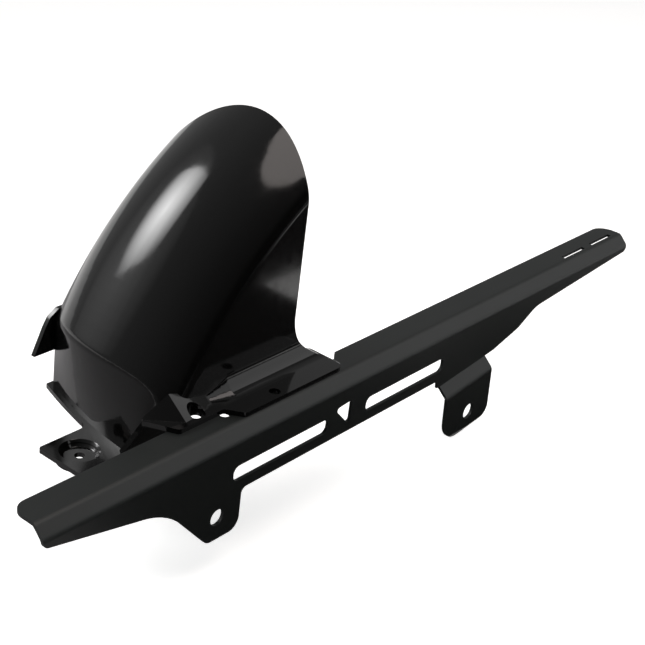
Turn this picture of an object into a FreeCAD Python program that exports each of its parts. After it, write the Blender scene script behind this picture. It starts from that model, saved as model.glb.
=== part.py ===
"""Rear hugger on its chain guard, for a motorbike: an arched moulding on a folded sheet.

Frame: the origin is the centre of the guard's front bolt hole on the side plate's outer face.
X runs along the guard to the rear of the bike, Y inward to the wheel, Z up. Sizes in mm.
"""
import FreeCAD, Part
import math
import os
import re
import Sketcher

SIZES = {
    # Folded sheet of the guard
    "gauge": 2.0, "guard_front": -127.3, "guard_rear": 463.2, "guard_width": 25.8,
    "fold_low": 44.9, "fold_leg": 7.2, "bend_round": 5.0, "nose_corner": 9.0, "rear_corner": 12.0,
    # Lower edge of the side plate, from the front to the rear
    "nose_low": 40.3, "nose_round": 4.5, "waist_along": -41.6, "waist_low": 22.2, "waist_round": 55.0,
    "lug_front": -6.8, "lug_rear": 19.2, "lug_low": -15.4, "lug_round": 8.0, "belly_low": 11.5,
    "neck_round": 4.0, "neck_front": 214.0, "neck_dip": 5.7, "neck_rear": 281.0, "neck_rise": 12.5,
    "rise_front": 311.5, "rise_low": 20.2, "rise_rear": 332.2, "rise_top": 31.0, "rise_round": 25.0,
    "rear_low": 40.0, "rear_round": 4.0,
    # Holes and slots of the side plate
    "front_bore": 10.5, "rear_bore": 11.5, "slot_front": 10.8, "slot_long": 84.0, "slot_pitch": 121.5,
    "slot_low": 18.6, "slot_high": 10.0, "slot_round": 4.5, "window_front": 100.5, "window_rear": 117.0,
    "window_low": 15.5, "window_side": 32.0, "window_top": 33.5, "window_round": 2.0,
    # Rear tab, set outward by a joggle, in its own tilted frame
    "tab_along": 248.0, "tab_up": 9.1, "tab_tilt": 5.9, "tab_front": -31.0, "tab_rear": 23.0,
    "tab_drop": 45.0, "joggle": 7.0, "tab_big_round": 17.0, "tab_small_round": 8.0, "tab_soft_bend": 5.0,
    "tab_bore_along": -2.1, "tab_bore_drop": 31.3,
    # Top plate
    "notch_front": -10.0, "notch_rear": 120.1, "notch_slope": 7.2, "notch_side": 20.4,
    "vent_front": 382.0, "vent_long": 30.0, "vent_pitch": 40.5, "vent_side": 11.5, "vent_wide": 3.0,
    "plate_bore": 6.5, "plate_bore_along": 19.5, "plate_bore_side": 18.5, "screw_bore": 5.0,
    # Arch of the moulding: a section swung about the wheel's axle
    "skin": 3.0, "axle_along": 252.8, "axle_up": -76.2, "crown_reach": 309.0, "hub_reach": 120.0,
    "swing": 70.0, "middle": 89.0, "half_width": 56.0, "crown_round": 82.0, "shoulder_round": 10.0,
    # Apron across the front: a wide bow at its foot, a tighter one at its brow
    "apron_foot": 21.5, "apron_top": 80.0, "apron_spare": 5.0, "apron_depth": 100.0,
    "foot_front": 31.3, "foot_side": -4.9, "foot_round": 450.0, "brow_front": 38.6,
    "brow_bow": 27.2, "crease_round": 11.0,
    # Return below the flange, rim and lip round the apron, foot of the far wall
    "return_top": 39.0, "return_foot": 57.4, "return_rear": 104.0, "return_rise": 14.0, "arch_front": 84.0,
    "rim_front": 35.0, "rim_long": 14.0, "far_front": 62.0, "far_rise": 18.0, "far_foot": 46.5,
    "lip_reach": 3.5, "lip_short": 2.5,
    # Flange on the guard, with a gusset up to the corner of the arch
    "flange_gauge": 3.0, "flare_start": 70.0, "flare_tip": 1.5, "flare_full": 92.0, "flare_round": 11.5,
    "flange_tip": 31.3, "flange_tip_side": 39.1,
    "flange_front": 40.7, "flange_step_side": 19.2, "flange_step": 75.5, "flange_step_long": 7.2,
    "flange_side": 8.0, "flange_rear": 171.7, "flange_round": 7.0, "step_round": 3.0, "flange_heel": 19.0,
    "gusset_tip": 1.0, "gusset_peak": 17.5, "gusset_rear": 43.0, "gusset_rise": 11.4, "gusset_end": 4.0,
    "flange_bore": 7.0, "screw_along": 113.2, "screw_side": 14.0, "dish_along": 59.8, "dish_side": 25.7,
    "dish_bore": 6.5, "dish_wide": 11.0, "dish_deep": 1.2,
    # Rear edge of the moulding: bowed in plan, flared at the foot
    "tail_along": 149.2, "tail_bulge": 13.5, "tail_low": 85.0, "tail_round": 32.0,
    # Planes that part the moulding
    "seam_front": 30.5, "seam_side": 5.0, "seam_up": 66.0,
    # Fin at the far front corner
    "fin_top": 73.5, "fin_rear": 72.0, "fin_brow": 60.0, "fin_cheek": 53.6, "fin_cheek_up": 69.5,
    "fin_waist": 50.0, "fin_waist_up": 63.5, "fin_tip": 42.0,
    # Mounting tab with its pressed cup
    "ear_long": 29.1, "ear_side": 69.3, "ear_wide": 42.5, "ear_round": 2.0, "ear_hollow": 6.0,
    "cup_ahead": 13.1, "cup_inset": 16.9, "cup_wide": 21.0, "cup_deep": 3.5, "cup_slope": 1.5,
    "cup_bore": 6.0,
}

doc = FreeCAD.newDocument("rear_hugger")
sheet = doc.addObject("Spreadsheet::Sheet", "dims")
for row, (alias, size) in enumerate(SIZES.items(), start=1):
    sheet.set("A%d" % row, alias)
    sheet.set("B%d" % row, str(size))
    sheet.setAlias("B%d" % row, alias)
doc.recompute()


def value(formula):
    """Number that a formula of the sheet's aliases gives."""
    return float(sheet.evalExpression(formula))


def bind(thing, prop, formula):
    """Bind a property to a formula of the sheet's aliases."""
    thing.setExpression(prop, re.sub(r"\b[a-z]\w*\b(?!\()", lambda word: "dims." + word.group(), formula))


def new_body(name):
    body = doc.addObject("PartDesign::Body", name)
    body.Label = name
    return body


def new_sketch(body, name, role, offset="0"):
    """Sketch on an origin plane of the body, moved along the plane's normal."""
    sketch = body.newObject("Sketcher::SketchObject", name)
    plane = next(item for item in body.Origin.OriginFeatures if item.Role == role)
    sketch.AttachmentSupport = (plane, [""])
    sketch.MapMode = "FlatFace"
    bind(sketch, "AttachmentOffset.Base.z", offset)
    return sketch


FRONT = "(axle_along - crown_reach)"


def arch_sketch(body, name, role, offset="0"):
    """Sketch of the moulding, measured along the guard from the front of the arch's sweep."""
    if role == "YZ_Plane":
        return new_sketch(body, name, role, FRONT + " + " + offset)
    sketch = new_sketch(body, name, role, offset)
    bind(sketch, "AttachmentOffset.Base.x", FRONT)
    return sketch


def limit(sketch, formula, *constraint):
    """Add a driving dimension bound to the sheet."""
    index = sketch.addConstraint(Sketcher.Constraint(*constraint, value(formula)))
    bind(sketch, "Constraints[%d]" % index, formula)


def place(sketch, index, end, across, up):
    """Hold one point of a sketch at two formulas from the sketch's origin."""
    limit(sketch, across, "DistanceX", -1, 1, index, end)
    limit(sketch, up, "DistanceY", -1, 1, index, end)


def outline(sketch, corners):
    """Closed outline with straight sides through corners given as formulas."""
    spots = [FreeCAD.Vector(value(corner[0]), value(corner[1]), 0) for corner in corners]
    first = sketch.GeometryCount
    count = len(spots)
    for step in range(count):
        sketch.addGeometry(Part.LineSegment(spots[step], spots[(step + 1) % count]))
    for step in range(count):
        follower = first + (step + 1) % count
        sketch.addConstraint(Sketcher.Constraint("Coincident", first + step, 2, follower, 1))
        place(sketch, first + step, 1, corners[step][0], corners[step][1])


def circle(sketch, across, up, width):
    """Circle at two formulas with its diameter from the sheet."""
    centre = FreeCAD.Vector(value(across), value(up), 0)
    index = sketch.addGeometry(Part.Circle(centre, FreeCAD.Vector(0, 0, 1), value(width) / 2))
    place(sketch, index, 3, across, up)
    limit(sketch, width, "Diameter", index)


def add_arc(sketch, centre, radius, start, end):
    """Arc about a point between two angles in degrees."""
    spot = FreeCAD.Vector(centre[0], centre[1], 0)
    base = Part.Circle(spot, FreeCAD.Vector(0, 0, 1), radius)
    first = FreeCAD.Units.Quantity("%f deg" % start).getValueAs("rad").Value
    last = FreeCAD.Units.Quantity("%f deg" % end).getValueAs("rad").Value
    return sketch.addGeometry(Part.ArcOfCircle(base, first, last))


def close_behind(sketch, arc, across):
    """Close an arc with two level sides and an upright one at a formula across."""
    start, end = sketch.getPoint(arc, 1), sketch.getPoint(arc, 2)
    away = value(across)
    corners = [end, FreeCAD.Vector(away, end.y, 0), FreeCAD.Vector(away, start.y, 0), start]
    sides = [sketch.addGeometry(Part.LineSegment(*ends)) for ends in zip(corners, corners[1:])]
    for first, second in zip([arc] + sides, sides + [arc]):
        sketch.addConstraint(Sketcher.Constraint("Coincident", first, 2, second, 1))
    for side, way in zip(sides, ("Horizontal", "Vertical", "Horizontal")):
        sketch.addConstraint(Sketcher.Constraint(way, side))
    limit(sketch, across, "DistanceX", -1, 1, sides[1], 1)


def extrude(body, kind, name, sketch, length, backward=False):
    """Pad or Pocket of a sketch; a formula gives its length."""
    feature = body.newObject("PartDesign::" + kind, name)
    feature.Profile = sketch
    feature.Reversed = backward
    bind(feature, "Length", length)
    doc.recompute()
    return feature


def edges_along(shape, axis, spots):
    """Names of the straight edges along an axis that pass through spots of the other two axes."""
    others = [index for index in range(3) if index != axis]
    names = []
    for number, edge in enumerate(shape.Edges, start=1):
        start, end = edge.Vertexes[0].Point, edge.Vertexes[-1].Point
        straight = all(abs(start[index] - end[index]) < 0.01 for index in others)
        if not straight or abs(start[axis] - end[axis]) < 0.01:
            continue
        away = [max(abs(start[index] - part) for index, part in zip(others, spot)) for spot in spots]
        if min(away, default=1) < 0.05:
            names.append("Edge%d" % number)
    return names


def edges_that(shape, test):
    """Names of the edges that satisfy a test."""
    return ["Edge%d" % number for number, edge in enumerate(shape.Edges, start=1) if test(edge)]


def fillet(body, name, names, radius):
    """Round edges of the body's latest feature."""
    base = body.Tip
    feature = body.newObject("PartDesign::Fillet", name)
    feature.Base = (base, names)
    bind(feature, "Radius", radius)
    doc.recompute()
    return feature


def round_corners(body, name, axis, corners, datum="0"):
    """Round the corners of an outline, each by the radius it names; a datum shifts them along."""
    for radius in dict.fromkeys(corner[2] for corner in corners if len(corner) == 3):
        sharp = [corner for corner in corners if corner[2:] == (radius,)]
        spots = [(value(corner[0] + " + " + datum), value(corner[1])) for corner in sharp]
        fillet(body, name + "_" + radius, edges_along(body.Tip.Shape, axis, spots), radius)


# Chain guard: side plate, then the bevel and the top plate along its upper edge
guard = new_body("chain_guard")
SIDE = [
    ("guard_front", "fold_low"),
    ("guard_front", "nose_low", "nose_round"),
    ("waist_along", "waist_low", "waist_round"),
    ("lug_front", "lug_low", "lug_round"),
    ("lug_rear", "lug_low", "lug_round"),
    ("lug_rear", "belly_low", "neck_round"),
    ("neck_front", "belly_low", "neck_round"),
    ("neck_front", "neck_dip"),
    ("neck_rear", "neck_rise"),
    ("rise_front", "rise_low", "rise_round"),
    ("rise_rear", "rise_top", "rise_round"),
    ("guard_rear", "rear_low", "rear_round"),
    ("guard_rear", "fold_low"),
]
side_sketch = new_sketch(guard, "side_outline", "XZ_Plane")
outline(side_sketch, SIDE)
extrude(guard, "Pad", "side_plate", side_sketch, "gauge", backward=True)

fold_sketch = new_sketch(guard, "fold_section", "YZ_Plane", "guard_front")
outline(fold_sketch, [
    ("0", "fold_low - gauge"),
    ("0", "fold_low"),
    ("fold_leg", "fold_low + fold_leg"),
    ("guard_width", "fold_low + fold_leg"),
    ("guard_width", "fold_low + fold_leg - gauge"),
    ("fold_leg + gauge * tan(22.5)", "fold_low + fold_leg - gauge"),
    ("gauge", "fold_low - gauge * tan(22.5)"),
    ("gauge", "fold_low - gauge"),
])
extrude(guard, "Pad", "fold", fold_sketch, "guard_rear - guard_front")
round_corners(guard, "side", 1, SIDE)
top = value("fold_low + fold_leg")
inset = value("gauge * tan(22.5)")
outer_bends = [(0, value("fold_low")), (value("fold_leg"), top)]
inner_bends = [(value("gauge"), value("fold_low") - inset), (value("fold_leg") + inset, top - value("gauge"))]
fillet(guard, "outer_bends", edges_along(guard.Tip.Shape, 0, outer_bends), "bend_round")
fillet(guard, "inner_bends", edges_along(guard.Tip.Shape, 0, inner_bends), "bend_round - gauge")

# Rear tab: a joggle sets it outward, and its own frame is tilted along the bend
tab_sketch = new_sketch(guard, "tab_section", "YZ_Plane")
tab_turn = FreeCAD.Rotation(FreeCAD.Vector(1, 0, 0), -value("tab_tilt"))
tab_sketch.AttachmentOffset = FreeCAD.Placement(FreeCAD.Vector(0, 0, 0), tab_turn)
outline(tab_sketch, [
    ("gauge", "gauge"),
    ("0", "gauge"),
    ("0", "0"),
    ("-joggle", "-joggle"),
    ("-joggle", "-tab_drop"),
    ("gauge - joggle", "-tab_drop"),
    ("gauge - joggle", "-joggle - gauge * tan(22.5)"),
    ("gauge", "-gauge * tan(22.5)"),
])
bind(tab_sketch, "AttachmentOffset.Rotation.Angle", "-tab_tilt")
bind(tab_sketch, "AttachmentOffset.Base.y", "tab_up + tab_front * sin(tab_tilt)")
bind(tab_sketch, "AttachmentOffset.Base.z", "tab_along + tab_front * cos(tab_tilt)")
extrude(guard, "Pad", "rear_tab", tab_sketch, "tab_rear - tab_front")


def on_tab(along, drop):
    """Formulas, along and up, of a spot of the tilted rear tab."""
    across = "tab_along + (%s) * cos(tab_tilt) + (%s) * sin(tab_tilt)" % (along, drop)
    return across, "tab_up + (%s) * sin(tab_tilt) - (%s) * cos(tab_tilt)" % (along, drop)


round_corners(guard, "tab", 1, [
    on_tab("tab_front", "tab_drop") + ("tab_big_round",),
    on_tab("tab_rear", "tab_drop") + ("tab_small_round",),
])
bend_front, bend_rear = on_tab("tab_front", "joggle"), on_tab("tab_rear", "joggle")


def is_outer_bend(edge):
    """Whether an edge is the rear tab's outer bend line."""
    ends = [vertex.Point for vertex in edge.Vertexes]
    return len(ends) == 2 and all(
        abs(end.y + value("joggle")) < 0.01
        and min(abs(end.x - value(bend_front[0])), abs(end.x - value(bend_rear[0]))) < 0.05
        and min(abs(end.z - value(bend_front[1])), abs(end.z - value(bend_rear[1]))) < 0.05
        for end in ends)


fillet(guard, "tab_bend", edges_that(guard.Tip.Shape, is_outer_bend), "tab_soft_bend")

# Openings of the side plate
holes_sketch = new_sketch(guard, "side_openings", "XZ_Plane", "20")
circle(holes_sketch, "0", "0", "front_bore")
circle(holes_sketch, *on_tab("tab_bore_along", "tab_bore_drop"), "rear_bore")
SLOTS = []
for start in ("slot_front", "slot_front + slot_pitch"):
    slot = [
        (start, "slot_low", "slot_round"),
        (start + " + slot_long", "slot_low", "slot_round"),
        (start + " + slot_long", "slot_low + slot_high", "slot_round"),
        (start, "slot_low + slot_high", "slot_round"),
    ]
    outline(holes_sketch, slot)
    SLOTS += slot
WINDOW = [
    ("window_front", "window_side", "window_round"),
    ("window_rear", "window_low", "window_round"),
    ("window_rear", "window_top", "window_round"),
]
outline(holes_sketch, WINDOW)
extrude(guard, "Pocket", "side_holes", holes_sketch, "24")
round_corners(guard, "opening", 1, SLOTS + WINDOW)

# Openings and corners of the top plate
plate_sketch = new_sketch(guard, "top_openings", "XY_Plane", "fold_low + fold_leg + 5")
outline(plate_sketch, [
    ("notch_front", "guard_width + 5"),
    ("notch_front", "notch_side"),
    ("notch_rear", "notch_side"),
    ("notch_rear + notch_slope", "guard_width"),
    ("notch_rear + notch_slope", "guard_width + 5"),
])
for start in ("vent_front", "vent_front + vent_pitch"):
    outline(plate_sketch, [
        (start, "vent_side - vent_wide / 2"),
        (start + " + vent_long", "vent_side - vent_wide / 2"),
        (start + " + vent_long", "vent_side + vent_wide / 2"),
        (start, "vent_side + vent_wide / 2"),
    ])
circle(plate_sketch, "plate_bore_along", "plate_bore_side", "plate_bore")
circle(plate_sketch, FRONT + " + screw_along", "screw_side", "screw_bore")
extrude(guard, "Pocket", "top_holes", plate_sketch, "8")
round_corners(guard, "plate", 2, [
    ("guard_front", "guard_width", "nose_corner"),
    ("guard_rear", "guard_width", "rear_corner"),
])


def bowed_plan(body, name, height, centre, radius):
    """Plan of what is cut away before the apron, behind one of its two bows."""
    plan = arch_sketch(body, name, "XY_Plane", height)
    near, far = "middle - half_width - apron_spare", "middle + half_width + apron_spare"
    start = 180 - math.degrees(math.asin((value(far) - value(centre[1])) / value(radius)))
    end = 180 + math.degrees(math.asin((value(centre[1]) - value(near)) / value(radius)))
    bow = add_arc(plan, [value(part) for part in centre], value(radius), start, end)
    close_behind(plan, bow, "-apron_depth")
    place(plan, bow, 3, *centre)
    limit(plan, radius, "Radius", bow)
    limit(plan, far, "DistanceY", -1, 1, bow, 1)
    limit(plan, near, "DistanceY", -1, 1, bow, 2)
    return plan


def bow_radius(span, rise):
    """Formula of the radius of a bow from half its span and its rise."""
    return "((%s)^2 + %s^2) / (2 * %s)" % (span, rise, rise)


def swung_form(name, inset):
    """Solid form of the moulding, drawn in by an inset: the arch less the apron's and return's cuts."""
    body = new_body(name)
    section = new_sketch(body, name + "_section", "XY_Plane", "axle_up")
    rise = value("crown_round - shoulder_round")
    reach = value("half_width - shoulder_round")
    lean = math.degrees(math.asin(reach / rise))
    centre = (value("axle_along - crown_reach + crown_round"), value("middle"))
    shoulder = centre[0] - math.sqrt(rise ** 2 - reach ** 2)
    hub = value("axle_along - hub_reach + " + inset)
    near, far = value("middle - half_width + " + inset), value("middle + half_width - " + inset)
    axle = section.addGeometry(Part.LineSegment(
        FreeCAD.Vector(value("axle_along"), 0, 0), FreeCAD.Vector(value("axle_along"), near, 0)), True)
    place(section, axle, 1, "axle_along", "0")
    place(section, axle, 2, "axle_along", "middle - half_width + " + inset)
    near_wall = section.addGeometry(Part.LineSegment(
        FreeCAD.Vector(hub, near, 0), FreeCAD.Vector(shoulder, near, 0)))
    small, large = value("shoulder_round - " + inset), value("crown_round - " + inset)
    near_shoulder = add_arc(section, (shoulder, centre[1] - reach), small, 180 + lean, 270)
    crown = add_arc(section, centre, large, 180 - lean, 180 + lean)
    far_shoulder = add_arc(section, (shoulder, centre[1] + reach), small, 90, 180 - lean)
    far_wall = section.addGeometry(Part.LineSegment(
        FreeCAD.Vector(shoulder, far, 0), FreeCAD.Vector(hub, far, 0)))
    floor = section.addGeometry(Part.LineSegment(FreeCAD.Vector(hub, far, 0), FreeCAD.Vector(hub, near, 0)))
    section.addConstraint([
        Sketcher.Constraint("Tangent", near_wall, 2, near_shoulder, 2),
        Sketcher.Constraint("Tangent", near_shoulder, 1, crown, 2),
        Sketcher.Constraint("Tangent", crown, 1, far_shoulder, 2),
        Sketcher.Constraint("Tangent", far_shoulder, 1, far_wall, 1),
        Sketcher.Constraint("Coincident", far_wall, 2, floor, 1),
        Sketcher.Constraint("Coincident", floor, 2, near_wall, 1),
        Sketcher.Constraint("Equal", near_shoulder, far_shoulder),
    ])
    place(section, near_wall, 1, "axle_along - hub_reach + " + inset, "middle - half_width + " + inset)
    place(section, far_wall, 2, "axle_along - hub_reach + " + inset, "middle + half_width - " + inset)
    place(section, crown, 3, "axle_along - crown_reach + crown_round", "middle")
    limit(section, "crown_round - " + inset, "Radius", crown)
    limit(section, "shoulder_round - " + inset, "Radius", near_shoulder)
    arch = body.newObject("PartDesign::Revolution", name + "_arch")
    arch.Profile = section
    arch.ReferenceAxis = (section, ["Axis0"])
    bind(arch, "Angle", "swing")
    doc.recompute()

    foot_centre = ("foot_front + foot_round", "foot_side")
    foot = bowed_plan(body, name + "_foot_plan", "apron_foot - skin", foot_centre, "foot_round - " + inset)
    bow = bow_radius("half_width + apron_spare", "brow_bow")
    brow_centre = ("brow_front + " + bow, "middle")
    brow = bowed_plan(body, name + "_brow_plan", "apron_top", brow_centre, bow + " - " + inset)
    apron = body.newObject("PartDesign::SubtractiveLoft", name + "_apron")
    apron.Profile = foot
    apron.Sections = [brow]
    apron.Ruled = True
    doc.recompute()

    slant = arch_sketch(body, name + "_return_section", "YZ_Plane", "return_rear")
    outline(slant, [
        ("0", "fold_low + fold_leg + " + inset),
        ("return_top + 1.2 * " + inset, "fold_low + fold_leg + " + inset),
        ("return_foot + 1.2 * " + inset, "apron_foot"),
        ("return_foot + 1.2 * " + inset, "axle_up - skin"),
        ("0", "axle_up - skin"),
    ])
    extrude(body, "Pocket", name + "_return", slant, "return_rear + apron_depth")
    return body


def edges_between(shape, test):
    """Names of the edges whose two faces satisfy a test, in either order."""
    names = []
    for number, edge in enumerate(shape.Edges, start=1):
        faces = shape.ancestorsOfType(edge, Part.Face)
        if len(faces) == 2 and (test(*faces) or test(*reversed(faces))):
            names.append("Edge%d" % number)
    return names


def is_crease(first, second):
    """Whether two faces are the apron and the arch."""
    return isinstance(first.Surface, Part.BSplineSurface) and isinstance(second.Surface, Part.Toroid)


outer = swung_form("outer_form", "0")
fillet(outer, "crease", edges_between(outer.Tip.Shape, is_crease), "crease_round")
core = swung_form("core_form", "skin")

# Flange on the guard
FLANGE = [
    ("flange_tip", "flange_tip_side"),
    ("flange_front", "flange_step_side", "step_round"),
    ("flange_step", "flange_step_side", "step_round"),
    ("flange_step + flange_step_long", "flange_side", "step_round"),
    ("flange_rear", "flange_side", "flange_round"),
    ("flange_rear", "middle"),
    ("return_rear", "middle"),
    ("flange_tip + flange_heel", "flange_tip_side + skin"),
]
flange_sketch = arch_sketch(outer, "flange_outline", "XY_Plane", "fold_low + fold_leg")
outline(flange_sketch, FLANGE)
extrude(outer, "Pad", "flange", flange_sketch, "flange_gauge")
round_corners(outer, "flange", 2, FLANGE, FRONT)
shell = doc.addObject("Part::Cut", "shell")
shell.Base = outer
shell.Tool = core
doc.recompute()

# Moulding: the shell with its flare and gusset, trimmed along its edges
hugger = new_body("moulding")
hugger.BaseFeature = shell
doc.recompute()


def loft(name, sections):
    """Add a ruled solid through sections of the moulding."""
    feature = hugger.newObject("PartDesign::AdditiveLoft", name)
    feature.Profile = sections[0]
    feature.Sections = sections[1:]
    feature.Ruled = True
    doc.recompute()


# Flare from the near wall to the flange, growing from the front corner
wall, flange_top = "middle - half_width", "fold_low + fold_leg + flange_gauge"
FLARE = [("flare_start", "flare_tip"), ("flare_full", "flare_round"), ("flange_rear", "flare_round")]
flares = []
for along, radius in FLARE:
    sweep = arch_sketch(hugger, along + "_section", "YZ_Plane", along)
    left, high = wall + " - " + radius, flange_top + " + " + radius
    curve = add_arc(sweep, (value(left), value(high)), value(radius), 270, 360)
    within, low = wall + " + skin / 2", flange_top + " - 1"
    corners = [(within, high), (within, low), (left, low)]
    spots = [FreeCAD.Vector(value(across), value(up), 0) for across, up in corners]
    spots = [sweep.getPoint(curve, 2)] + spots + [sweep.getPoint(curve, 1)]
    sides = [sweep.addGeometry(Part.LineSegment(*ends)) for ends in zip(spots, spots[1:])]
    for first, second in zip([curve] + sides, sides + [curve]):
        sweep.addConstraint(Sketcher.Constraint("Coincident", first, 2, second, 1))
    place(sweep, curve, 3, left, high)
    limit(sweep, radius, "Radius", curve)
    limit(sweep, left, "DistanceX", -1, 1, curve, 1)
    limit(sweep, high, "DistanceY", -1, 1, curve, 2)
    for side, corner in zip(sides, corners):
        place(sweep, side, 2, *corner)
    flares.append(sweep)
loft("flare", flares)

# Gusset from the flange's tip up to the corner of the arch
GUSSET = [
    ("gusset_tip", "flange_tip_side - 1.5", "flange_tip_side + 1.5", "0.5"),
    ("gusset_peak", "flange_step_side + 2", wall + " + 1.5 * skin", "gusset_rise"),
    ("gusset_rear", "flange_step_side + 4", wall + " + skin / 2", "gusset_end"),
]
wedges = []
for along, outside, inside, rise in GUSSET:
    wedge = arch_sketch(hugger, along + "_section", "YZ_Plane", "flange_tip + " + along)
    low = flange_top + " - 1"
    outline(wedge, [(outside, low), (inside, low), (inside, flange_top + " + " + rise)])
    wedges.append(wedge)
loft("gusset", wedges)

# Rear edge, bowed in plan above and curved out in side view at the foot
tail_sketch = arch_sketch(hugger, "tail_plan", "XY_Plane", "crown_reach")
tail_radius = bow_radius("half_width", "tail_bulge")
tail_centre = ("tail_along + tail_bulge - " + tail_radius, "middle")
spread = math.degrees(math.asin(value("1.5 * half_width / (%s)" % tail_radius)))
bow = add_arc(tail_sketch, [value(part) for part in tail_centre], value(tail_radius), -spread, spread)
close_behind(tail_sketch, bow, "crown_reach")
place(tail_sketch, bow, 3, *tail_centre)
limit(tail_sketch, tail_radius, "Radius", bow)
limit(tail_sketch, "middle - 1.5 * half_width", "DistanceY", -1, 1, bow, 1)
limit(tail_sketch, "middle + 1.5 * half_width", "DistanceY", -1, 1, bow, 2)
extrude(hugger, "Pocket", "tail", tail_sketch, "crown_reach - tail_low")

rear_sketch = arch_sketch(hugger, "rear_outline", "XZ_Plane", "half_width")
rear_centre = ("tail_along + tail_round", "tail_low")
rear = add_arc(rear_sketch, [value(part) for part in rear_centre], value("tail_round"), 180, 250)
turn = rear_sketch.getPoint(rear, 2)
behind, low = value("crown_reach"), value("-crown_reach")
REAR = [
    (turn, FreeCAD.Vector(turn.x, low, 0)),
    (FreeCAD.Vector(turn.x, low, 0), FreeCAD.Vector(behind, low, 0)),
    (FreeCAD.Vector(behind, low, 0), FreeCAD.Vector(behind, value("tail_low"), 0)),
    (FreeCAD.Vector(behind, value("tail_low"), 0), rear_sketch.getPoint(rear, 1)),
]
drop, floor, back, roof = [rear_sketch.addGeometry(Part.LineSegment(*ends)) for ends in REAR]
for first, second in ((rear, drop), (drop, floor), (floor, back), (back, roof), (roof, rear)):
    rear_sketch.addConstraint(Sketcher.Constraint("Coincident", first, 2, second, 1))
place(rear_sketch, rear, 1, "tail_along", "tail_low")
place(rear_sketch, rear, 3, *rear_centre)
limit(rear_sketch, "flange_rear", "DistanceX", -1, 1, rear, 2)
place(rear_sketch, floor, 1, "flange_rear", "-crown_reach")
place(rear_sketch, back, 1, "crown_reach", "-crown_reach")
place(rear_sketch, back, 2, "crown_reach", "tail_low")
extrude(hugger, "Pocket", "rear", rear_sketch, "6 * half_width")

foot_sketch = arch_sketch(hugger, "foot_outline", "XZ_Plane", "half_width")
outline(foot_sketch, [
    ("-apron_depth", "apron_foot"),
    ("crown_reach", "apron_foot"),
    ("crown_reach", "-crown_reach"),
    ("-apron_depth", "-crown_reach"),
])
extrude(hugger, "Pocket", "foot_trim", foot_sketch, "6 * half_width")


def trim_below(name, side, front, rise, level, length):
    """Cut away what is lower than a level, behind a slanted front edge."""
    sketch = arch_sketch(hugger, name + "_outline", "XZ_Plane", side)
    outline(sketch, [
        (front, "-crown_reach"),
        (front, level + " - " + rise),
        (front + " + " + rise, level),
        ("crown_reach", level),
        ("crown_reach", "-crown_reach"),
    ])
    extrude(hugger, "Pocket", name, sketch, length)


trim_below(
    "near_trim", "half_width", "arch_front", "return_rise", "fold_low + fold_leg", "half_width + middle")
trim_below("far_trim", "-middle", "far_front", "far_rise", "far_foot", "2 * half_width")

# Rim in front of the return, lip along the apron's foot and fin of the far wall
rim_sketch = arch_sketch(hugger, "rim_section", "YZ_Plane", "rim_front")
outline(rim_sketch, [
    ("return_top", "fold_low + fold_leg"),
    ("return_top + 1.2 * skin", "fold_low + fold_leg"),
    ("return_foot + 1.2 * skin", "apron_foot"),
    ("return_foot", "apron_foot"),
])
extrude(hugger, "Pad", "rim", rim_sketch, "rim_long")

lip_sketch = arch_sketch(hugger, "lip_outline", "XY_Plane", "apron_foot")
lip_centre = ("foot_front + foot_round", "foot_side")
lip_far = "middle + half_width - lip_short"
lip_arcs = []
for radius in ("foot_round + lip_reach", "foot_round - skin / 2"):
    near = math.degrees(math.asin(value("return_foot - foot_side") / value(radius)))
    far = math.degrees(math.asin(value(lip_far + " - foot_side") / value(radius)))
    centre = [value(part) for part in lip_centre]
    arc = add_arc(lip_sketch, centre, value(radius), 180 - far, 180 - near)
    place(lip_sketch, arc, 3, *lip_centre)
    limit(lip_sketch, radius, "Radius", arc)
    limit(lip_sketch, lip_far, "DistanceY", -1, 1, arc, 1)
    limit(lip_sketch, "return_foot", "DistanceY", -1, 1, arc, 2)
    lip_arcs.append(arc)
for end in (1, 2):
    spots = [lip_sketch.getPoint(arc, end) for arc in lip_arcs]
    side = lip_sketch.addGeometry(Part.LineSegment(*spots))
    lip_sketch.addConstraint(Sketcher.Constraint("Coincident", lip_arcs[0], end, side, 1))
    lip_sketch.addConstraint(Sketcher.Constraint("Coincident", lip_arcs[1], end, side, 2))
extrude(hugger, "Pad", "lip", lip_sketch, "skin")

fin_sketch = arch_sketch(hugger, "fin_outline", "XZ_Plane", "-middle - half_width")
outline(fin_sketch, [
    ("fin_rear", "fin_top"),
    ("fin_brow", "fin_top"),
    ("fin_cheek", "fin_cheek_up"),
    ("fin_waist", "fin_waist_up"),
    ("fin_tip", "far_foot"),
    ("fin_rear", "far_foot"),
])
extrude(hugger, "Pad", "fin", fin_sketch, "skin")

# Mounting tab with its pressed cup and hole
ear_sketch = arch_sketch(hugger, "ear_outline", "XY_Plane", "apron_foot")
ear_front = "foot_front - ear_long"
ear_near, ear_far = "ear_side - ear_wide / 2", "ear_side + ear_wide / 2"


def foot_at(side, reach):
    """Formula of how far along the apron's foot stands at one side, a reach before its face."""
    return "foot_front + foot_round - sqrt((foot_round + %s)^2 - (%s - foot_side)^2)" % (reach, side)


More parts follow.
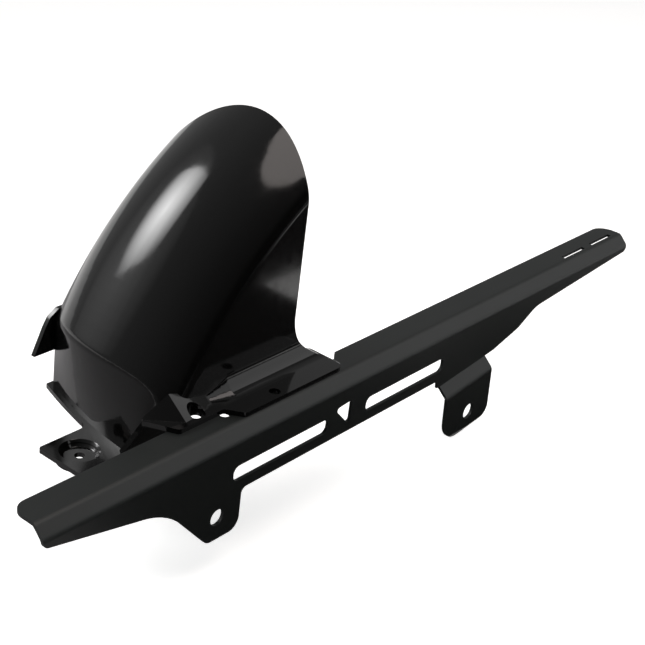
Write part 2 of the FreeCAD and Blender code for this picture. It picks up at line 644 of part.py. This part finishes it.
EAR = [
    (ear_front, ear_near, "ear_round"),
    (foot_at(ear_near, "-skin / 2"), ear_near),
    (foot_at(ear_far, "-skin / 2"), ear_far),
    (ear_front, ear_far, "ear_round"),
]
outline(ear_sketch, EAR)
extrude(hugger, "Pad", "ear", ear_sketch, "skin")
round_corners(hugger, "ear", 2, EAR + [(foot_at(ear_far, "lip_reach"), ear_far, "ear_hollow")], FRONT)
cup_spot = ("foot_front - cup_ahead", ear_far + " - cup_inset")
cup_sketch = arch_sketch(hugger, "cup_outline", "XY_Plane", "apron_foot")
circle(cup_sketch, *cup_spot, "cup_wide + 2 * skin")
extrude(hugger, "Pad", "cup", cup_sketch, "cup_deep", backward=True)
bowl_sketch = arch_sketch(hugger, "bowl_outline", "XY_Plane", "apron_foot + skin")
circle(bowl_sketch, *cup_spot, "cup_wide")
extrude(hugger, "Pocket", "bowl", bowl_sketch, "cup_deep")


def is_cup_rim(edge):
    """Whether an edge is one of the two circles of the cup's inside."""
    round_edge = isinstance(edge.Curve, Part.Circle) and abs(edge.Curve.Radius - value("cup_wide / 2")) < 0.01
    return round_edge and abs(edge.Curve.Center.x - value(FRONT + " + " + cup_spot[0])) < 0.01


bowl = hugger.Tip
cup_slopes = hugger.newObject("PartDesign::Chamfer", "cup_slopes")
cup_slopes.Base = (bowl, edges_that(bowl.Shape, is_cup_rim))
bind(cup_slopes, "Size", "cup_slope")
doc.recompute()
bore_sketch = arch_sketch(hugger, "cup_bore_outline", "XY_Plane", "apron_foot + skin")
circle(bore_sketch, *cup_spot, "cup_bore")
extrude(hugger, "Pocket", "cup_hole", bore_sketch, "cup_deep + 2 * skin")

# Screw holes of the flange, the front one in a shallow dish, cut from above the blend
above_flare = flange_top + " + flare_round"
dish_sketch = arch_sketch(hugger, "dish_outline", "XY_Plane", above_flare)
circle(dish_sketch, "dish_along", "dish_side", "dish_wide")
extrude(hugger, "Pocket", "dish", dish_sketch, "flare_round + dish_deep")
screw_sketch = arch_sketch(hugger, "screw_outline", "XY_Plane", above_flare)
circle(screw_sketch, "dish_along", "dish_side", "dish_bore")
circle(screw_sketch, "screw_along", "screw_side", "flange_bore")
extrude(hugger, "Pocket", "screw_holes", screw_sketch, "flare_round + 2 * flange_gauge")

# Moulding parted at four planes into simple nodes that meet face to face, so that the arch stays open
SPAN = "2 * crown_reach"
LENGTH = (FRONT + " + seam_front", SPAN)
MIDDLE = ("middle - half_width + seam_side", "middle + half_width - seam_side")
WHOLE = ("-" + SPAN, SPAN)
SLABS = {
    "hugger_tab": ((WHOLE[0], LENGTH[0]), WHOLE, WHOLE),
    "hugger_near_side": (LENGTH, (WHOLE[0], MIDDLE[0]), WHOLE),
    "hugger_far_side": (LENGTH, (MIDDLE[1], WHOLE[1]), WHOLE),
    "hugger_apron": (LENGTH, MIDDLE, (WHOLE[0], "seam_up")),
    "hugger_crown": (LENGTH, MIDDLE, ("seam_up", WHOLE[1])),
}
nodes = [guard]
for name, ranges in SLABS.items():
    slab = doc.addObject("Part::Box", name + "_slab")
    for (low, high), side, axis in zip(ranges, ("Length", "Width", "Height"), "xyz"):
        bind(slab, side, "%s - (%s)" % (high, low))
        bind(slab, "Placement.Base." + axis, low)
    node = doc.addObject("Part::Common", name)
    node.Label = name
    node.Base = hugger
    node.Tool = slab
    nodes.append(node)
doc.recompute()

# Every object is sound before any file is written
for item in doc.Objects:
    if "Invalid" in item.State or "Error" in item.State:
        raise RuntimeError("%s did not build" % item.Name)
for node in nodes:
    if node.Shape.isNull() or not node.Shape.isValid() or len(node.Shape.Solids) != 1:
        raise RuntimeError("%s is not one sound solid" % node.Label)
os.makedirs("parts", exist_ok=True)
for node in nodes:
    node.Shape.exportStep("parts/%s.step" % node.Label)
    print(node.Label, round(node.Shape.Volume))
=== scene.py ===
"""Rear hugger on its chain guard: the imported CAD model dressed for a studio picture.

Everything is in metres, in the CAD model's own frame: the origin is the centre of the guard's front
bolt hole, X runs to the rear of the bike, Y inward to the wheel and Z up.
"""
from __future__ import annotations

import logging
import math
from dataclasses import dataclass
from enum import Enum
from typing import Any

import bmesh
import bpy
from mathutils import Matrix, Quaternion, Vector
from mathutils.geometry import intersect_point_line

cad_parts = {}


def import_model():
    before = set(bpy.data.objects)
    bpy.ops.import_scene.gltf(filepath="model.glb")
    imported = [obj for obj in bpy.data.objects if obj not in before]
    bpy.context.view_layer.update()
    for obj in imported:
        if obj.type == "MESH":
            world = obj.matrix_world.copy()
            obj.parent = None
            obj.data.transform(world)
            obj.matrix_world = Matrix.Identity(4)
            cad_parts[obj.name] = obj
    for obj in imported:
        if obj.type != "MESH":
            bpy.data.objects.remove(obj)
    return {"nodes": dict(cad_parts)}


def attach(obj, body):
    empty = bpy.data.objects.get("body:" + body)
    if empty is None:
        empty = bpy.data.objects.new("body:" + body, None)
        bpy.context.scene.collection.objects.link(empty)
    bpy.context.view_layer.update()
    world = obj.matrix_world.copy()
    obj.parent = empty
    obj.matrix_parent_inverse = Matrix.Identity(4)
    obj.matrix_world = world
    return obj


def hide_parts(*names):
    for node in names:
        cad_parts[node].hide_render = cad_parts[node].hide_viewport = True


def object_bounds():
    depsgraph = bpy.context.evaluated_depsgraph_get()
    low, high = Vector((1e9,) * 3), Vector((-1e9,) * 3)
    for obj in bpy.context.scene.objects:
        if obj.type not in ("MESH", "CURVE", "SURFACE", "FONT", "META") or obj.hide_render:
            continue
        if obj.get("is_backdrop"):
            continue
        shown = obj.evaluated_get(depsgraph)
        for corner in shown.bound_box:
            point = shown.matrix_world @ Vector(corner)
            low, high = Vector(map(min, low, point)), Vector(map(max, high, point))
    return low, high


LOG = logging.getLogger("rear_hugger")
MM = 0.001
# Sockets of a colour mix node, by number because their names repeat
MIX_FIRST = 6
MIX_SECOND = 7
MIX_RESULT = 2


class Axis(Enum):
    """Row axes by their index."""

    X = 0
    Y = 1
    Z = 2


def linear(code: str) -> tuple[float, float, float, float]:
    """Turn an sRGB hex value into linear colour.

    Args:
        code: six hex digits, with or without a leading hash.

    Returns:
        Linear red, green and blue, with full alpha.
    """
    digits = code.lstrip("#")
    parts = [int(digits[place:place + 2], 16) / 255 for place in (0, 2, 4)]
    red, green, blue = [
        part / 12.92 if part <= 0.04045 else ((part + 0.055) / 1.055) ** 2.4 for part in parts
    ]
    return red, green, blue, 1.0


def add_node(tree: bpy.types.NodeTree, kind: str, links: dict[str | int, Any] | None = None,
             values: dict[str | int, Any] | None = None, **settings: Any) -> bpy.types.Node:
    """Add a node with its settings, input values and input links.

    Args:
        tree: node tree that takes the node.
        kind: type name of the node.
        links: output sockets by the name or number of the input that each one feeds.
        values: plain values by the name or number of their input.
        **settings: properties of the node itself.

    Returns:
        The new node.
    """
    node = tree.nodes.new(kind)
    for name, setting in settings.items():
        setattr(node, name, setting)
    for name, number in (values or {}).items():
        node.inputs[name].default_value = number
    for name, socket in (links or {}).items():
        tree.links.new(socket, node.inputs[name])
    return node


def blank_material(name: str) -> tuple[bpy.types.Material, bpy.types.NodeTree]:
    """Make a material with an empty node tree.

    Args:
        name: name of the material.

    Returns:
        The material and its tree.
    """
    material = bpy.data.materials.new(name)
    material.use_nodes = True
    material.node_tree.nodes.clear()
    return material, material.node_tree


@dataclass(frozen=True)
class MouldedAbs:
    """Gloss black ABS, moulded in a polished tool: a deep black with mirror-like soft reflections."""

    colour: str = "#090909"
    roughness: float = 0.09
    ior: float = 1.5
    ripple_mm: float = 38.0
    ripple_depth_mm: float = 0.02
    ripple_strength: float = 0.35
    haze_mm: float = 6.0
    haze_range: tuple[float, float] = (0.3, 0.75)
    haze_shares: tuple[float, float] = (0.8, 1.35)

    def material(self) -> bpy.types.Material:
        """Build the gloss black material.

        Returns:
            The material.
        """
        material, tree = blank_material("gloss_black_moulded_abs")
        place = add_node(tree, "ShaderNodeTexCoord").outputs["Object"]
        haze = add_node(tree, "ShaderNodeTexNoise", {"Vector": place},
                        {"Scale": 1 / (self.haze_mm * MM), "Detail": 3.0, "Roughness": 0.6})
        low, high = self.haze_range
        smooth, dull = [self.roughness * share for share in self.haze_shares]
        rough = add_node(tree, "ShaderNodeMapRange", {"Value": haze.outputs["Fac"]},
                         {"From Min": low, "From Max": high, "To Min": smooth, "To Max": dull})
        ripple = add_node(tree, "ShaderNodeTexNoise", {"Vector": place},
                          {"Scale": 1 / (self.ripple_mm * MM), "Detail": 1.0})
        bump = add_node(tree, "ShaderNodeBump", {"Height": ripple.outputs["Fac"]},
                        {"Strength": self.ripple_strength, "Distance": self.ripple_depth_mm * MM})
        shader = add_node(tree, "ShaderNodeBsdfPrincipled",
                          {"Roughness": rough.outputs["Result"], "Normal": bump.outputs["Normal"]},
                          {"Base Color": linear(self.colour), "IOR": self.ior})
        add_node(tree, "ShaderNodeOutputMaterial", {"Surface": shader.outputs["BSDF"]})
        return material


@dataclass(frozen=True)
class PowderCoat:
    """Matt black powder coat on aluminium sheet: a fine even grain that spreads the light."""

    colour: str = "#101413"
    pale: str = "#171b1a"
    roughness: float = 0.45
    ior: float = 1.5
    grain_mm: float = 0.9
    grain_depth_mm: float = 0.03
    grain_strength: float = 0.4
    cloud_mm: float = 45.0

    def material(self) -> bpy.types.Material:
        """Build the matt black material; its grain is drawn coarse enough to show.

        Returns:
            The material.
        """
        material, tree = blank_material("matt_black_powder_coat")
        place = add_node(tree, "ShaderNodeTexCoord").outputs["Object"]
        cloud = add_node(tree, "ShaderNodeTexNoise", {"Vector": place},
                         {"Scale": 1 / (self.cloud_mm * MM), "Detail": 4.0})
        tone = add_node(tree, "ShaderNodeMix", {"Factor": cloud.outputs["Fac"]},
                        {MIX_FIRST: linear(self.colour), MIX_SECOND: linear(self.pale)}, data_type="RGBA")
        grain = add_node(tree, "ShaderNodeTexNoise", {"Vector": place},
                         {"Scale": 1 / (self.grain_mm * MM), "Detail": 2.0})
        bump = add_node(tree, "ShaderNodeBump", {"Height": grain.outputs["Fac"]},
                        {"Strength": self.grain_strength, "Distance": self.grain_depth_mm * MM})
        shader = add_node(tree, "ShaderNodeBsdfPrincipled",
                          {"Base Color": tone.outputs[MIX_RESULT], "Normal": bump.outputs["Normal"]},
                          {"Roughness": self.roughness, "IOR": self.ior})
        add_node(tree, "ShaderNodeOutputMaterial", {"Surface": shader.outputs["BSDF"]})
        return material


@dataclass(frozen=True)
class Seam:
    """A flat seam where nodes of one moulding meet face to face."""

    axis: Axis
    level: float
    slack: float = 0.004 * MM

    def holds(self, vertex: bmesh.types.BMVert) -> bool:
        """Tell whether a vertex lies in the seam's plane.

        Args:
            vertex: vertex to look at.

        Returns:
            True where it lies there.
        """
        return abs(vertex.co[self.axis.value] - self.level) < self.slack

    def open_faces(self, mesh: bmesh.types.BMesh) -> None:
        """Take away the faces that lie in the seam, so that the walls can be joined.

        Args:
            mesh: mesh that holds the nodes on both sides.
        """
        shut = [face for face in mesh.faces if all(self.holds(vertex) for vertex in face.verts)]
        bmesh.ops.delete(mesh, geom=shut, context="FACES_ONLY")

    def match(self, mesh: bmesh.types.BMesh, reach: float) -> None:
        """Split each open edge of the seam where a corner from the other side rests on it.

        Args:
            mesh: mesh with the open walls of both sides.
            reach: how far from an edge such a corner may stand.
        """
        rim = [edge for edge in mesh.edges if edge.is_boundary and all(map(self.holds, edge.verts))]
        for corner in dict.fromkeys(vertex for edge in rim for vertex in edge.verts):
            for edge in list(rim):
                start, end = edge.verts
                foot, share = intersect_point_line(corner.co, start.co, end.co)
                if corner in edge.verts or not 0 < share < 1 or (foot - corner.co).length > reach:
                    continue
                if min((corner.co - start.co).length, (corner.co - end.co).length) < self.slack:
                    continue
                added, vertex = bmesh.utils.edge_split(edge, start, share)
                vertex.co = corner.co
                rim.append(added)


@dataclass
class DressedPiece:
    """One real piece, made of one or more CAD nodes, with softened edges and smooth curved faces."""

    name: str
    nodes: tuple[str, ...]
    slot: str
    finish: MouldedAbs | PowderCoat
    seams: tuple[Seam, ...] = ()
    edge_mm: float = 0.5
    edge_steps: int = 2
    crease_degrees: float = 32.0
    flat_degrees: float = 0.2
    weld_mm: float = 0.002
    seam_reach_mm: float = 0.2

    def joined(self, sources: dict[str, bpy.types.Object]) -> bpy.types.Mesh:
        """Join copies of the CAD nodes into one closed mesh.

        Args:
            sources: the CAD nodes' objects by name, which stay as they are.

        Returns:
            The joined mesh.
        """
        mesh = bmesh.new()
        for node in self.nodes:
            mesh.from_mesh(sources[node].data)
        for seam in self.seams:
            seam.open_faces(mesh)
        bmesh.ops.remove_doubles(mesh, verts=mesh.verts[:], dist=self.weld_mm * MM)
        for seam in self.seams:
            seam.match(mesh, self.seam_reach_mm * MM)
        bmesh.ops.remove_doubles(mesh, verts=mesh.verts[:], dist=self.weld_mm * MM)
        LOG.info("%s: %d open edges", self.name, sum(edge.is_boundary for edge in mesh.edges))
        data = bpy.data.meshes.new(self.name)
        mesh.to_mesh(data)
        mesh.free()
        return data

    def build(self, sources: dict[str, bpy.types.Object]) -> None:
        """Make the dressed piece and let it stand for its CAD nodes.

        Args:
            sources: the CAD nodes' objects by name.
        """
        bpy.ops.object.select_all(action="DESELECT")
        piece = bpy.data.objects.new(self.name, self.joined(sources))
        bpy.context.scene.collection.objects.link(piece)
        piece.select_set(True)
        bpy.context.view_layer.objects.active = piece
        bpy.ops.object.mode_set(mode="EDIT")
        bpy.ops.mesh.select_all(action="SELECT")
        bpy.ops.mesh.dissolve_limited(angle_limit=math.radians(self.flat_degrees))
        bpy.ops.object.mode_set(mode="OBJECT")
        bevel = piece.modifiers.new("soft_edges", "BEVEL")
        bevel.limit_method = "ANGLE"
        bevel.angle_limit = math.radians(self.crease_degrees)
        bevel.width = self.edge_mm * MM
        bevel.segments = self.edge_steps
        bevel.use_clamp_overlap = True
        bpy.ops.object.modifier_apply(modifier=bevel.name)
        bpy.ops.object.shade_smooth_by_angle(angle=math.radians(self.crease_degrees))
        weigh = piece.modifiers.new("flat_faces", "WEIGHTED_NORMAL")
        weigh.mode = "FACE_AREA_WITH_ANGLE"
        weigh.keep_sharp = True
        bpy.ops.object.modifier_apply(modifier=weigh.name)
        piece.data.materials.append(self.finish.material())
        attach(piece, "root")
        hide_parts(*self.nodes)
        LOG.info("%s: %d faces", piece.name, len(piece.data.polygons))


def span(thing: bpy.types.Object, axis: Axis) -> tuple[float, float]:
    """Give the lowest and highest place of an object's mesh along an axis.

    Args:
        thing: object with a mesh.
        axis: axis to measure along.

    Returns:
        The lowest and the highest place.
    """
    places = [vertex.co[axis.value] for vertex in thing.data.vertices]
    return min(places), max(places)


@dataclass(frozen=True)
class PhotoCamera:
    """Camera at the photograph's viewing angle, on a square picture."""

    eye: tuple[float, float, float] = (-0.4989, -0.4237, 0.4606)
    target: tuple[float, float, float] = (0.0760, 0.0001, 0.1000)
    roll_degrees: float = 7.35
    focal_px: float = 1400.0
    picture_px: float = 645.0
    sensor_mm: float = 36.0
    clip_start: float = 0.01

    def build(self) -> None:
        """Add the camera and make it the scene's own."""
        data = bpy.data.cameras.new("photo_camera")
        data.sensor_width = self.sensor_mm
        data.lens = self.sensor_mm * self.focal_px / self.picture_px
        data.clip_start = self.clip_start
        camera = bpy.data.objects.new("photo_camera", data)
        bpy.context.scene.collection.objects.link(camera)
        eye = Vector(self.eye)
        ahead = (Vector(self.target) - eye).normalized()
        level = ahead.cross(Vector((0, 0, 1))).normalized()
        upright = level.cross(ahead)
        roll = math.radians(self.roll_degrees)
        right = level * math.cos(roll) + upright * math.sin(roll)
        up = upright * math.cos(roll) - level * math.sin(roll)
        turn = Matrix((right, up, -ahead)).transposed()
        camera.matrix_world = Matrix.Translation(eye) @ turn.to_4x4()
        bpy.context.scene.camera = camera


@dataclass(frozen=True)
class Softbox:
    """A soft lamp that looks at the object; a narrow spread lets its light fade from the middle."""

    name: str
    place: tuple[float, float, float]
    aim: tuple[float, float, float]
    size: tuple[float, float]
    watts: float
    spread_degrees: float = 180.0
    turn_degrees: float = 0.0
    colour: str = "#ffffff"

    def build(self) -> None:
        """Add the lamp."""
        data = bpy.data.lights.new(self.name, "AREA")
        data.shape = "ELLIPSE"
        data.size, data.size_y = self.size
        data.energy = self.watts
        data.color = linear(self.colour)[:3]
        data.spread = math.radians(self.spread_degrees)
        lamp = bpy.data.objects.new(self.name, data)
        bpy.context.scene.collection.objects.link(lamp)
        lamp.location = self.place
        way = Vector(self.aim) - Vector(self.place)
        turn = Quaternion((0, 0, 1), math.radians(self.turn_degrees))
        lamp.rotation_euler = (way.to_track_quat("-Z", "Y") @ turn).to_euler()


@dataclass(frozen=True)
class Flag:
    """A card lying on the floor, which shows in the gloss of the pieces and nowhere else."""

    name: str
    low: tuple[float, float]
    high: tuple[float, float]
    colour: str = "#0b0a09"
    roughness: float = 0.9

    def build(self, height: float) -> None:
        """Add the card.

        Args:
            height: height of the card.
        """
        middle = [(low + high) / 2 for low, high in zip(self.low, self.high)]
        bpy.ops.mesh.primitive_plane_add(size=1, location=(*middle, height))
        card = bpy.context.object
        card.name = self.name
        card.scale = (self.high[0] - self.low[0], self.high[1] - self.low[1], 1)
        bpy.ops.object.transform_apply(location=True, rotation=True, scale=True)
        material, tree = blank_material(self.name + "_cloth")
        shader = add_node(tree, "ShaderNodeBsdfPrincipled",
                          values={"Base Color": linear(self.colour), "Roughness": self.roughness})
        add_node(tree, "ShaderNodeOutputMaterial", {"Surface": shader.outputs["BSDF"]})
        card.data.materials.append(material)
        card.visible_camera = False
        card.visible_diffuse = False
        card.visible_transmission = False
        card.visible_shadow = False
        card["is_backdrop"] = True


@dataclass(frozen=True)
class Studio:
    """White floor, a room that is dim on the near side, soft lamps and cards on the floor."""

    floor_colour: str = "#f7f7f6"
    floor_roughness: float = 0.9
    floor_half: float = 40.0
    floor_glow: float = 0.64
    near_room: float = 0.01
    far_room: float = 0.31
    room_fade: tuple[float, float] = (-0.8, 0.5)
    flag_lift: float = 0.002
    lamps: tuple[Softbox, ...] = (
        Softbox("far_softbox", (-0.46, 1.182, 1.045), (0.005, 0.116, 0.103), (0.72, 1.50),
                watts=1.25, spread_degrees=34.0, turn_degrees=-37.0),
        Softbox("glow_softbox", (-0.70, 1.20, 0.85), (0.02, 0.09, 0.12), (2.00, 1.60),
                watts=0.7, spread_degrees=64.0),
        Softbox("top_softbox", (0.30, -0.20, 1.60), (0.15, 0.05, 0.05), (1.20, 1.20),
                watts=9.0, colour="#fff6f2"),
        Softbox("rear_softbox", (1.10, -0.80, 0.76), (0.25, 0.02, 0.03), (1.60, 1.60), watts=6.0),
    )
    flags: tuple[Flag, ...] = (
        Flag("horizon_flag", (-2.00, -40.0), (4.00, -1.00)),
        Flag("near_flag", (-0.03, -1.00), (0.305, 0.20)),
        Flag("outer_flag", (0.305, -1.00), (0.56, -0.168)),
        Flag("inner_flag", (0.305, -0.122), (0.42, 0.20)),
        Flag("gap_flag", (0.375, -0.168), (0.42, -0.122)),
        Flag("guard_flag", (0.42, -0.168), (1.20, -0.01)),
        Flag("front_flag", (-2.00, -1.00), (-0.03, 0.60), "#b4b4b6"),
        Flag("corner_flag", (-0.03, 0.20), (0.305, 0.60), "#d0d0d2"),
    )

    def build(self, floor_height: float) -> None:
        """Add the floor, the room's light, the lamps and the flags.

        Args:
            floor_height: height of the floor under the object.
        """
        bpy.ops.object.select_all(action="DESELECT")
        bpy.ops.mesh.primitive_plane_add(size=2 * self.floor_half, location=(0, 0, floor_height))
        floor = bpy.context.object
        floor.name = "studio_floor"
        floor.data.materials.append(self.paper())
        floor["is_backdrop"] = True
        world = bpy.data.worlds.new("dim_room")
        bpy.context.scene.world = world
        world.use_nodes = True
        tree = world.node_tree
        tree.nodes.clear()
        way = add_node(tree, "ShaderNodeTexCoord").outputs["Generated"]
        inward = add_node(tree, "ShaderNodeSeparateXYZ", {"Vector": way}).outputs["Y"]
        near, far = self.room_fade
        level = add_node(tree, "ShaderNodeMapRange", {"Value": inward},
                         {"From Min": near, "From Max": far, "To Min": self.near_room,
                          "To Max": self.far_room})
        light = add_node(tree, "ShaderNodeBackground", {"Strength": level.outputs["Result"]},
                         {"Color": linear("#ffffff")})
        add_node(tree, "ShaderNodeOutputWorld", {"Surface": light.outputs["Background"]})
        for lamp in self.lamps:
            lamp.build()
        for flag in self.flags:
            flag.build(floor_height + self.flag_lift)

    def paper(self) -> bpy.types.Material:
        """Build the floor's paper, which is seen white where no shadow falls and lights nothing more.

        Returns:
            The material.
        """
        material, tree = blank_material("white_paper_floor")
        paper = add_node(tree, "ShaderNodeBsdfPrincipled",
                         values={"Base Color": linear(self.floor_colour), "Roughness": self.floor_roughness})
        rays = add_node(tree, "ShaderNodeLightPath").outputs
        seen = rays["Is Camera Ray"]
        for kind in ("Is Glossy Ray", "Is Transmission Ray"):
            seen = add_node(tree, "ShaderNodeMath", {0: seen, 1: rays[kind]}, operation="MAXIMUM").outputs[0]
        glow = add_node(tree, "ShaderNodeMath", {0: seen}, {1: self.floor_glow}, operation="MULTIPLY")
        white = add_node(tree, "ShaderNodeEmission", {"Strength": glow.outputs[0]})
        sheet = add_node(tree, "ShaderNodeAddShader",
                         {0: paper.outputs["BSDF"], 1: white.outputs["Emission"]})
        add_node(tree, "ShaderNodeOutputMaterial", {"Surface": sheet.outputs["Shader"]})
        return material


def main() -> None:
    """Load the frame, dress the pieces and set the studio."""
    logging.basicConfig(level=logging.INFO)
    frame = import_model()
    cad_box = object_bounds()
    bpy.context.scene.view_settings.view_transform = "Standard"
    PhotoCamera().build()
    nodes = frame["nodes"]
    seams = (
        Seam(Axis.X, span(nodes["hugger_tab"], Axis.X)[1]),
        Seam(Axis.Y, span(nodes["hugger_near_side"], Axis.Y)[1]),
        Seam(Axis.Y, span(nodes["hugger_far_side"], Axis.Y)[0]),
        Seam(Axis.Z, span(nodes["hugger_apron"], Axis.Z)[1]),
    )
    moulding = ("hugger_crown", "hugger_near_side", "hugger_far_side", "hugger_apron", "hugger_tab")
    pieces = (
        DressedPiece("hugger", moulding, "moulding", MouldedAbs(), seams),
        DressedPiece("folded_guard", ("chain_guard",), "coated_sheet", PowderCoat(), edge_mm=0.35),
    )
    for piece in pieces:
        piece.build(nodes)
    Studio().build(cad_box[0][Axis.Z.value])


if __name__ == "__main__":
    main()
